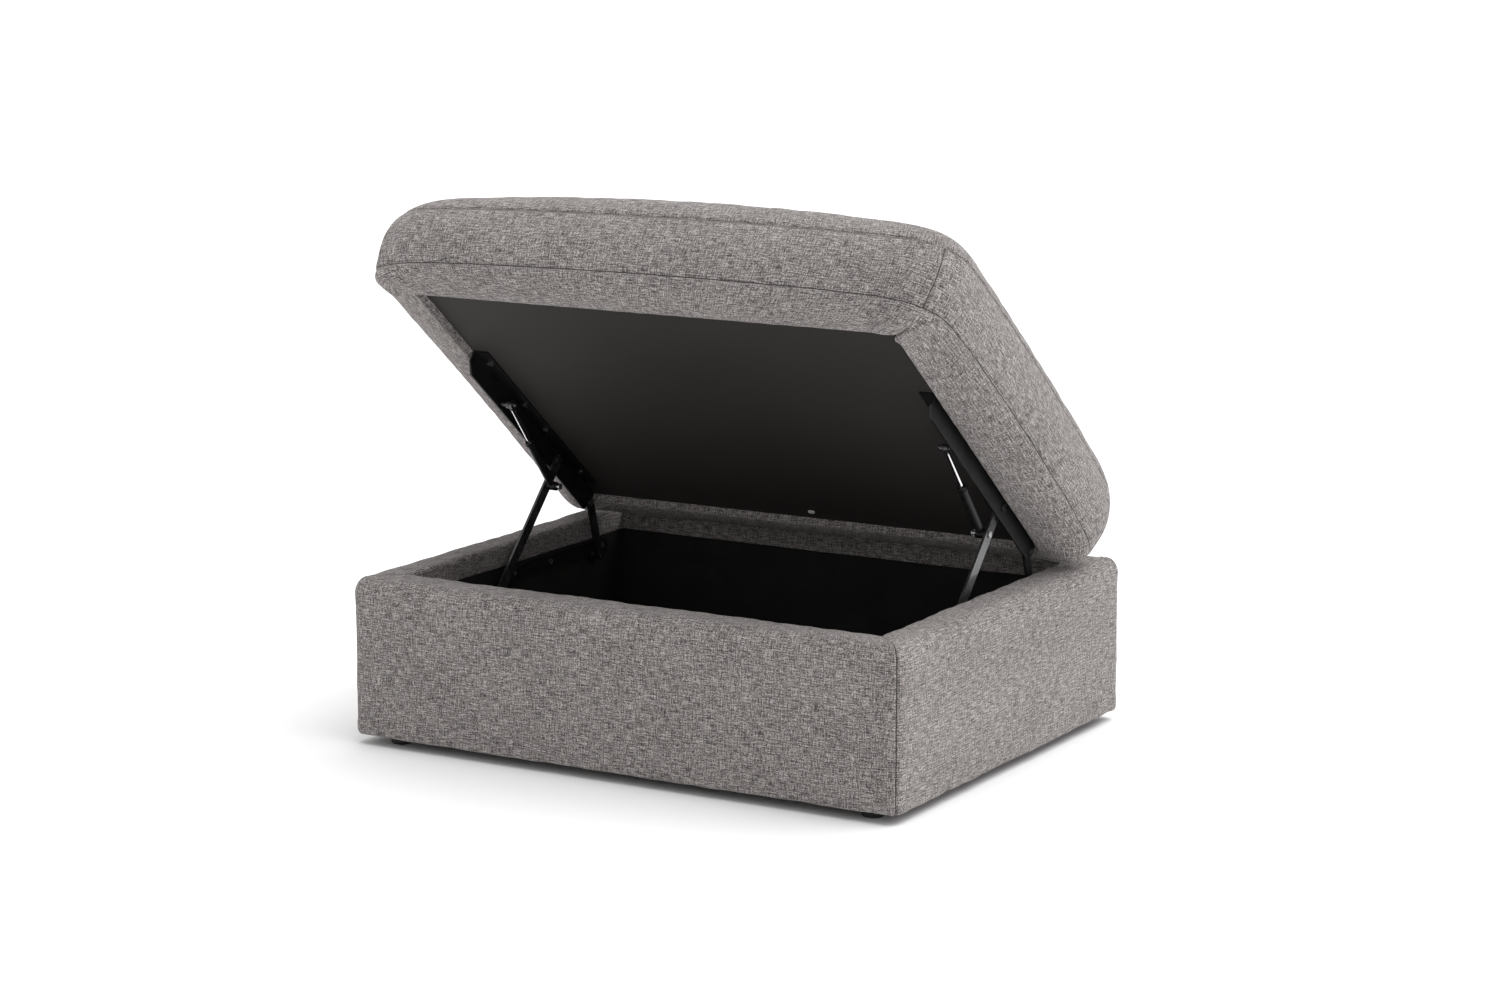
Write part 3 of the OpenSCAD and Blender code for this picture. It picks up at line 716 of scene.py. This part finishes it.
# relief across each seam: height, or depth when it is negative, place from the seam, and width
LOW_SEAM_RELIEF = ((-0.0024, 0, 0.0030), (0.0007, 0.006, 0.004))
HIGH_SEAM_RELIEF = ((-0.0016, 0, 0.0024), (0.0014, 0.0055, 0.0035), (0.0008, -0.006, 0.004))
CORNER_SEAM_RELIEF = ((-0.0030, 0, 0.0030), (0.0014, 0.0062, 0.0035))
PUCKER_H = 0.0003
PUCKER_REACH = 0.012
# each corner of the band from the front left: the side its pleats fan out to, their strength, flare and sag
CORNERS = ((1, 1.0, 0.011, 0.006), (-1, 1.0, 0.005, 0.002), (-1, 0.6, 0.005, 0.002), (-1, 0.6, 0.005, 0.002))
FLARE_REACH = 0.05
PLEAT_PLACES = (-0.012, 0.002, 0.019, 0.037)
PLEAT_RELIEF = ((-1, 0, 0.0030), (0.45, -0.007, 0.006))
PLEAT_DEPTH = 0.0065
PLEAT_LEAN = 0.012
PLEAT_SPREAD = 0.35
# the notch in the turned-in edge at the front right corner, and the cloth that is drawn to it
NOTCH_CORNER = 1
NOTCH_RELIEF = ((-0.016, 0.001, 0.0040), (0.0035, -0.020, 0.014))
NOTCH_DRAWS = (((0.008, 0, 0), 0, 0.010), ((-0.006, 0, -0.0015), 0.016, 0.009))
NOTCH_FOLD = 0.0022
NOTCH_FOLD_WIDTH = 0.0028
NOTCH_FOLD_LEAN = 0.013
# how far the turned-in edge waves, and how far that lowers it
EDGE_WAVE = 0.0012
EDGE_DROP = 0.0006


def corner_distance(t, corner):
    """Signed distance in metres along the edge from one corner (0 to 3), negative before it."""
    before, after = (LID_HALF_Y, LID_HALF_X) if corner % 2 == 0 else (LID_HALF_X, LID_HALF_Y)
    d = (t - corner + 2) % 4 - 2
    return 2 * np.where(d < 0, d * before, d * after)


def pleats(d, part, side):
    """Folds of the band that fan out from a corner to one side, as grooves and ridges of height 1."""
    fan = side * d - PLEAT_LEAN * (2 - part)
    spread = 1 + PLEAT_SPREAD * (2 - part)
    folds = sum(relief(fan - place * spread, PLEAT_RELIEF) for place in PLEAT_PLACES)
    return folds * window(part, 1, 2, 8, 2) * bump(part - 1.1, 0.4)


def notch(d, part):
    """Push along the normals, and shift, around the notch at the distance d from it."""
    slot = window(part, 0.25, 1.5, 3, 3)
    fold = bump(d + NOTCH_FOLD_LEAN * np.clip((part - 1) * 3, 0, 1), NOTCH_FOLD_WIDTH)
    fold *= window(part, 1, 2, 9, 12)
    drawn = sum(np.outer(bump(d - place, width) * slot, way) for way, place, width in NOTCH_DRAWS)
    return relief(d, NOTCH_RELIEF) * slot - NOTCH_FOLD * fold, drawn


def shape_lid_details(obj, q, t, rings):
    """Sinks the seams, lifts their welts, gathers the band's corners, and flattens what rests on the rim."""
    columns = len(t)
    count = len(q) - 1
    sides = count * columns
    along = distances(rings[:, columns // 8])[:-1]
    level = np.repeat(along, columns)
    over_low = level - along[np.argmin(np.abs(q[:-1] - LOW_SEAM_Q))]
    over_high = level - along[np.argmin(np.abs(q[:-1] - HIGH_SEAM_Q))]
    part = np.repeat(q[:-1], columns)
    turn = np.tile(t, count)
    # metres round the lid, each side counted from its own whole number
    around = np.tile((t % 1) * 2 * np.where(t % 2 < 1, LID_HALF_X, LID_HALF_Y) + np.floor(t), count)

    near_seams = bump(over_high, PUCKER_REACH) + 0.7 * bump(over_low, PUCKER_REACH)
    push = relief(over_low, LOW_SEAM_RELIEF) + relief(over_high, HIGH_SEAM_RELIEF)
    push += PUCKER_H * waves(around, level * 0.2, 5, 6, 0.012, 0.05) * near_seams
    shift = np.zeros((sides, 3))
    for corner, (side, strength, flare, sag) in enumerate(CORNERS):
        d = corner_distance(turn, corner)
        welt_side = 1 if corner % 2 else -1
        push += relief(welt_side * d, CORNER_SEAM_RELIEF) * window(part, 1.99, 3.01, 50, 50)
        push += strength * PLEAT_DEPTH * pleats(d, part, side)
        push += flare * bump(d, FLARE_REACH) * bump(part - 1.7, 0.45)
        shift[:, 2] -= sag * bump(d, FLARE_REACH) * bump(part - 1.5, 0.5)
        if corner == NOTCH_CORNER:
            notch_push, notch_shift = notch(d, part)
            push += notch_push
            shift += notch_shift

    co = coords(obj.data)
    co[:sides] += normals(obj.data)[:sides] * push[:, None] + shift
    edge_wave = EDGE_WAVE * waves(around, 0 * around, 11, 6, 0.03, 0.16) - EDGE_DROP
    co[:sides, 2] += np.where((part >= 0.4) & (part < 1.15), edge_wave, 0)
    co[:, 2] = REST_H + np.logaddexp(0, (co[:, 2] - REST_H) / REST_SOFT) * REST_SOFT
    set_coords(obj.data, co)


def tube(name, points, radius, material, matrix=None, closed=False, sides=6):
    """Round thread along points; the near-black lines drawn with it paint the shade in the seam grooves."""
    points = np.asarray(points)
    ahead = np.roll(points, -1, 0) - points if closed else np.gradient(points, axis=0)
    back = points - np.roll(points, 1, 0) if closed else ahead
    along = ahead + back
    along /= np.maximum(np.linalg.norm(along, axis=1, keepdims=True), 1e-9)
    helper = np.where(np.abs(along[:, 2:3]) > 0.9, np.array([[1.0, 0, 0]]), np.array([[0, 0, 1.0]]))
    side = np.cross(along, helper)
    side /= np.linalg.norm(side, axis=1, keepdims=True)
    other = np.cross(side, along)
    angles = np.arange(sides) * 2 * math.pi / sides
    verts = (points[:, None] + radius * (side[:, None] * np.cos(angles)[None, :, None]
                                         + other[:, None] * np.sin(angles)[None, :, None])).reshape(-1, 3)
    faces = []
    for i in range(len(points) if closed else len(points) - 1):
        a, b = i * sides, ((i + 1) % len(points)) * sides
        faces += [(a + k, a + (k + 1) % sides, b + (k + 1) % sides, b + k) for k in range(sides)]
    return new_object(name, verts, faces, material=material, matrix=matrix)


def stitches(name, points, outward, material, matrix):
    """Row of raised stitches along a closed line of points."""
    length = STITCH_LENGTH
    radius = THREAD_AND_SHADE_LINE_R
    loop = np.concatenate([points, points[:1]])
    place = distances(loop)
    count = int(place[-1] / (length + STITCH_GAP))
    out_loop = np.concatenate([outward, outward[:1]])
    starts = np.arange(count) * place[-1] / count
    verts, faces = [], []
    profile = ((0.0, 0.15), (0.15, 0.8), (0.5, 1.0), (0.85, 0.8), (1.0, 0.15))
    sides = 5
    for start in starts:
        spots = start + length * np.array([k for k, _ in profile])
        line = np.stack([np.interp(spots, place, loop[:, a]) for a in range(3)], 1)
        up = np.array([np.interp(start, place, out_loop[:, a]) for a in range(3)])
        up /= np.linalg.norm(up)
        along = line[-1] - line[0]
        along /= np.linalg.norm(along)
        side = np.cross(along, up)
        base = len(verts)
        for (_, share), p in zip(profile, line):
            for k in range(sides):
                angle = 2 * math.pi * k / sides
                verts.append(p + radius * share * (side * math.cos(angle) + up * (0.35 + math.sin(angle))))
        for r in range(len(profile) - 1):
            for k in range(sides):
                a, b = base + r * sides, base + (r + 1) * sides
                faces.append((a + k, a + (k + 1) % sides, b + (k + 1) % sides, b + k))
        faces.append(tuple(base + k for k in range(sides))[::-1])
        faces.append(tuple(base + (len(profile) - 1) * sides + k for k in range(sides)))
    return new_object(name, verts, faces, material=material, matrix=matrix)


# radius and lift of the threads, and of the near-black lines of painted seam shade
THREAD_AND_SHADE_LINE_R = 0.0007
THREAD_AND_SHADE_LINE_LIFT = 0.0002
# radius of the near-black lines of painted shade up the lid's corner seams
CORNER_SHADE_LINE_R = 0.0009
STITCH_LENGTH = 0.0045
STITCH_GAP = 0.0022


def lid_lines(obj, q, t):
    """Thread lines and topstitching of the lid's seams; the near-black lines along the lower and corner seams
    are painted shade of their grooves.
    """
    co = coords(obj.data)
    n = normals(obj.data)
    columns = len(t)
    made = []

    def ring_of(value):
        r = int(np.argmin(np.abs(q - value)))
        return slice(r * columns, (r + 1) * columns)

    # the lower seam's near-black line is painted shade of its groove; the upper seam has taupe thread
    seams = (("lid_lower_seam", LOW_SEAM_Q, SEAM_SHADE_LINE), ("lid_upper_seam", HIGH_SEAM_Q, TOP_THREAD))
    for name, value, thread in seams:
        ring = ring_of(value)
        made.append(tube(name, co[ring] + n[ring] * THREAD_AND_SHADE_LINE_LIFT, THREAD_AND_SHADE_LINE_R, thread, LID, closed=True))
    row = ring_of(HIGH_SEAM_Q - 0.03)
    made.append(stitches("lid_topstitch_lower", co[row], n[row], TOP_THREAD, LID))
    seam_rows = [r for r in range(len(q)) if LOW_SEAM_Q <= q[r] <= HIGH_SEAM_Q]
    # near-black lines up the corner seams: painted shade of their grooves
    for corner in range(4):
        column = int(np.argmin(np.abs(t - corner)))
        at = [r * columns + column for r in seam_rows]
        line = co[at] + n[at] * THREAD_AND_SHADE_LINE_LIFT
        made.append(tube(f"lid_corner_seam_{corner + 1}", line, CORNER_SHADE_LINE_R, SEAM_SHADE_LINE, LID))
    return made


# ---------------------------------------------------------------- box upholstery

BOX_LOW, BOX_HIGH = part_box("cover_front")
RIM_W = BOX_HIGH.y - BOX_LOW.y
BOX_HALF_X = BOX_HIGH.x
BOX_HALF_Y = -BOX_LOW.y
BOX_Z0 = BOX_LOW.z
RIM_Z = BOX_HIGH.z
CORNER_R = 0.019
MID_CORNER = 45.0
OUTER_R = 0.026
INNER_R = 0.009
BOTTOM_R = 0.007
HEM_DEPTH = 0.037
RETURN_W = 0.024
RETURN_KINK = 0.016
RETURN_RISE = 0.0003
CLOTH_T = 0.0022
HEM_ROLL = 0.0004
COLUMN_STEP = 0.0105
# the corner seams run up to this far over the start of the rim, and fade out over that length
SEAM_TOP = 0.035
SEAM_FADE = 0.012
BOX_SEAM_RELIEF = ((-0.0022, 0, 0.0016), (0.0011, -0.0042, 0.0028), (0.0005, 0.0045, 0.0028))
# size and lift of the near-black lines of painted shade in the box's corner seams
BOX_SHADE_LINE_R = 0.0011
BOX_SHADE_LINE_LIFT = 0.0001
# relief of the hem over the box's bottom edge, and the row of the cover's section where that edge is
HEM_RELIEF = ((-0.0007, 0.026, 0.0035), (0.0008, 0.013, 0.009))
EDGE_ROW = 4
WALL_WAVE = 0.0007
RIM_WAVE = 0.0004
EDGE_WAVE_LOW = 0.0009


def arc_points(centre, radius, start, end, count):
    angles = np.radians(np.linspace(start, end, count))
    return [(centre[0] + radius * math.cos(a), centre[1] + radius * math.sin(a)) for a in angles]


def box_profile():
    """Section of a wall's cover as (inset, height) points, from the return underneath to the hem inside."""
    points = [(RETURN_W, BOX_Z0 + 2 * RETURN_RISE), (RETURN_KINK, BOX_Z0 + RETURN_RISE)]
    points += arc_points((BOTTOM_R, BOX_Z0 + BOTTOM_R), BOTTOM_R, 270, 180, 4)
    wall = np.linspace(BOX_Z0 + BOTTOM_R, RIM_Z - OUTER_R, 25)
    points += [(0.0, z) for z in wall[1:-1]]
    points += arc_points((OUTER_R, RIM_Z - OUTER_R), OUTER_R, 180, 90, 8)
    points += [(x, RIM_Z) for x in np.linspace(OUTER_R, RIM_W - INNER_R, 5)[1:-1]]
    points += arc_points((RIM_W - INNER_R, RIM_Z - INNER_R), INNER_R, 90, 0, 5)
    points += [(RIM_W, z) for z in np.linspace(RIM_Z - INNER_R, RIM_Z - HEM_DEPTH, 5)[1:]]
    points += [(RIM_W - CLOTH_T, RIM_Z - HEM_DEPTH - HEM_ROLL)]
    return np.array(points)


def box_columns():
    """Columns round the box, counter-clockwise from the front left.

    Each is ("side", side, share along it) or ("corner", side before it, angle).
    """
    made = []
    fine = (0.0, 8.0, 18.0, 28.0, 37.0, 42.0, MID_CORNER, 48.0, 53.0, 62.0, 72.0, 82.0)
    for side in range(4):
        length = 2 * (BOX_HALF_X if side % 2 == 0 else BOX_HALF_Y)
        shares = np.linspace(0, 1, round(length / COLUMN_STEP) + 1)
        made += [("side", side, share) for share in shares[:-1]]
        made += [("corner", side, angle) for angle in fine]
    return made


def box_ring(inset, columns):
    """Plan points of the cover at one inset from the outer face."""
    radius = max(CORNER_R - inset, 0.0015)
    ex = BOX_HALF_X - inset - radius
    ey = BOX_HALF_Y - inset - radius
    centres = ((-ex, -ey), (ex, -ey), (ex, ey), (-ex, ey))
    points = []
    for kind, side, value in columns:
        a = centres[side]
        b = centres[(side + 1) % 4]
        direction = math.radians(90 * side - 90)
        if kind == "side":
            out = (radius * math.cos(direction), radius * math.sin(direction))
            points.append((a[0] + (b[0] - a[0]) * value + out[0], a[1] + (b[1] - a[1]) * value + out[1]))
        else:
            angle = direction + math.radians(value)
            points.append((b[0] + radius * math.cos(angle), b[1] + radius * math.sin(angle)))
    return np.array(points)


def box_mesh(profile, columns):
    """Vertices, faces and cloth coordinates of the box's cover, and the positions round it and up it."""
    n_col = len(columns)
    rings = np.stack([np.column_stack([box_ring(inset, columns), np.full(n_col, z)]) for inset, z in profile])
    index = np.arange(rings.shape[0] * n_col).reshape(-1, n_col)
    outer = box_ring(0, columns)
    around = distances(np.concatenate([outer, outer[:1]]))
    up = distances(profile)
    faces, uvs = ring_faces(index, around, up)
    return rings.reshape(-1, 3), faces, uvs, around, up


def box_relief(around, up, seam_columns, rim_from):
    """How far each point of the box's cover stands out: uneven padding, the hem and the corner seams."""
    level = np.repeat(up, len(around) - 1)
    at = np.tile(around[:-1], len(up))
    over_edge = level - up[EDGE_ROW]
    push = WALL_WAVE * waves(at, level, 21, 8, 0.08, 0.4)
    on_rim = window(level, rim_from, up[-5], 1 / 0.03, 1 / 0.02)
    push += on_rim * RIM_WAVE * waves(at, level, 22, 8, 0.05, 0.22)
    push += bump(over_edge, 0.02) * EDGE_WAVE_LOW * waves(at, level * 0, 23, 6, 0.025, 0.09)
    push += relief(over_edge, HEM_RELIEF)
    length = around[-1]
    fade = np.clip((rim_from + SEAM_TOP - level) / SEAM_FADE, 0, 1)
    for k in seam_columns:
        d = (at - around[k] + length / 2) % length - length / 2
        push += fade * relief(d, BOX_SEAM_RELIEF)
    return push


def add_box_cover():
    """The box's padded cover, from under the bottom edge over the rim to the hem inside, and near-black lines
    of painted shade along its corner seams.
    """
    columns = box_columns()
    profile = box_profile()
    verts, faces, uvs, around, up = box_mesh(profile, columns)
    count, n_col = len(profile), len(columns)
    soft = (profile[:, 1] > BOX_Z0 + 0.02) & (up < up[-6])
    pinned = np.repeat(np.where(soft, 0.0, 1.0), n_col)
    move = simulate("box_trial", verts, faces, pinned, np.zeros(len(verts)), None, swell=0.0025, pressure=1.5)
    move = np.stack([unevenness(m, ("wrap",)) for m in move.reshape(count, n_col)]).ravel()
    obj = new_object("base_cover", verts, faces, uvs, FABRIC)
    set_coords(obj.data, verts + normals(obj.data) * move[:, None])
    seam_columns = [k for k, c in enumerate(columns) if c[0] == "corner" and c[2] == MID_CORNER]
    rim_from = up[np.argmax(profile[:, 1] > RIM_Z - OUTER_R)]
    push = box_relief(around, up, seam_columns, rim_from)
    co = coords(obj.data) + normals(obj.data) * push[:, None]
    set_coords(obj.data, co)
    n = normals(obj.data)
    rows = [r for r in range(count) if up[EDGE_ROW] <= up[r] <= rim_from + SEAM_TOP]
    lines = []
    # near-black lines up the corner seams: painted shade of their grooves
    for number, k in enumerate(seam_columns):
        at = [r * n_col + k for r in rows]
        line = co[at] + n[at] * BOX_SHADE_LINE_LIFT
        lines.append(tube(f"base_corner_seam_{number + 1}", line, BOX_SHADE_LINE_R, SEAM_SHADE_LINE))
    return obj, lines


def subdivide(obj):
    modifier = obj.modifiers.new("smooth", "SUBSURF")
    modifier.levels = 1
    modifier.render_levels = 1


lid, lid_q, lid_t = add_lid_cushion()
lid_threads_and_seam_shades = lid_lines(lid, lid_q, lid_t)
base, base_seam_shade_lines = add_box_cover()
for piece in (lid, base):
    subdivide(piece)
for piece in [lid] + lid_threads_and_seam_shades:
    piece.data.transform(LID)
    piece.matrix_world = Matrix()

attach(lid, "lid")
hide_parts("lid_top_cover", "lid_border", "lid_band", "lid_foam")
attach(base, "base")
WALLS = ("front", "back", "left", "right")
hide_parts(*(f"{part}_{wall}" for part in ("cover", "padding") for wall in WALLS))
for thread in lid_threads_and_seam_shades:
    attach(thread, "lid")
for thread in base_seam_shade_lines:
    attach(thread, "base")

# ---------------------------------------------------------------- floor, light and camera

FLOOR_HALF = 30.0
FLOOR_LINES = 9
KEY_FROM = (0.29, 0.18, 0.94)
KEY_STRENGTH = 2.2
KEY_SPREAD = 60
CAMERA_PLACE = (3.0823, -5.2317, 1.5528)
CAMERA_LENS = 91.3
CAMERA_DOWN = 10.88
CAMERA_TURN = 30.37


def add_floor():
    """Plain pale floor, which the light takes up to white."""
    s = Shader("pale_floor")
    cloud = s.noise(s.coordinates((0.7, 0.7, 0.7)), detail=2)
    s.set(Base_Color=s.ramp(cloud, (0.3, (0.915, 0.915, 0.915)), (0.7, (0.925, 0.925, 0.925))), Roughness=0.9)
    s.set(Specular_IOR_Level=0.1)
    steps = np.linspace(-FLOOR_HALF, FLOOR_HALF, FLOOR_LINES)
    verts = [(x, y, 0.0) for x in steps for y in steps]
    index = np.arange(FLOOR_LINES ** 2).reshape(FLOOR_LINES, FLOOR_LINES)
    cells = [(i, j) for i in range(FLOOR_LINES - 1) for j in range(FLOOR_LINES - 1)]
    faces = [(index[i, j], index[i + 1, j], index[i + 1, j + 1], index[i, j + 1]) for i, j in cells]
    floor = new_object("floor", verts, faces, material=s.material)


def add_sun(name, towards, strength, spread):
    """Even soft light from the direction towards; spread is how wide it looks, in degrees."""
    data = bpy.data.lights.new(name, "SUN")
    data.energy = strength
    data.angle = math.radians(spread)
    obj = bpy.data.objects.new(name, data)
    bpy.context.scene.collection.objects.link(obj)
    obj.rotation_euler = Vector(towards).to_track_quat("Z", "Y").to_euler()


def add_world():
    """White studio that is bright behind the object and overhead, and dimmer in front of it."""
    world = bpy.data.worlds.new("studio")
    world.use_nodes = True
    tree = world.node_tree
    direction = tree.nodes.new("ShaderNodeTexCoord").outputs["Generated"]
    split = tree.nodes.new("ShaderNodeSeparateXYZ")
    tree.links.new(direction, split.inputs[0])
    span = tree.nodes.new("ShaderNodeMapRange")
    span.interpolation_type = "SMOOTHSTEP"
    tree.links.new(split.outputs["Y"], span.inputs["Value"])
    for key, value in {"From Min": -0.5, "From Max": 0.6, "To Min": 0.62, "To Max": 1.1}.items():
        span.inputs[key].default_value = value
    background = tree.nodes["Background"]
    background.inputs["Color"].default_value = (1, 1, 1, 1)
    tree.links.new(span.outputs[0], background.inputs["Strength"])
    bpy.context.scene.world = world


def add_camera():
    """Camera at the photograph's place and angle; CAMERA_DOWN and CAMERA_TURN are in degrees."""
    data = bpy.data.cameras.new("camera")
    data.lens = CAMERA_LENS
    data.sensor_width = 36
    data.clip_end = 100
    obj = bpy.data.objects.new("camera", data)
    bpy.context.scene.collection.objects.link(obj)
    obj.location = CAMERA_PLACE
    obj.rotation_euler = (math.radians(90 - CAMERA_DOWN), 0, math.radians(CAMERA_TURN))
    bpy.context.scene.camera = obj


add_floor()
add_world()
add_sun("key", KEY_FROM, KEY_STRENGTH, KEY_SPREAD)
add_camera()
bpy.context.scene.view_settings.view_transform = "Standard"
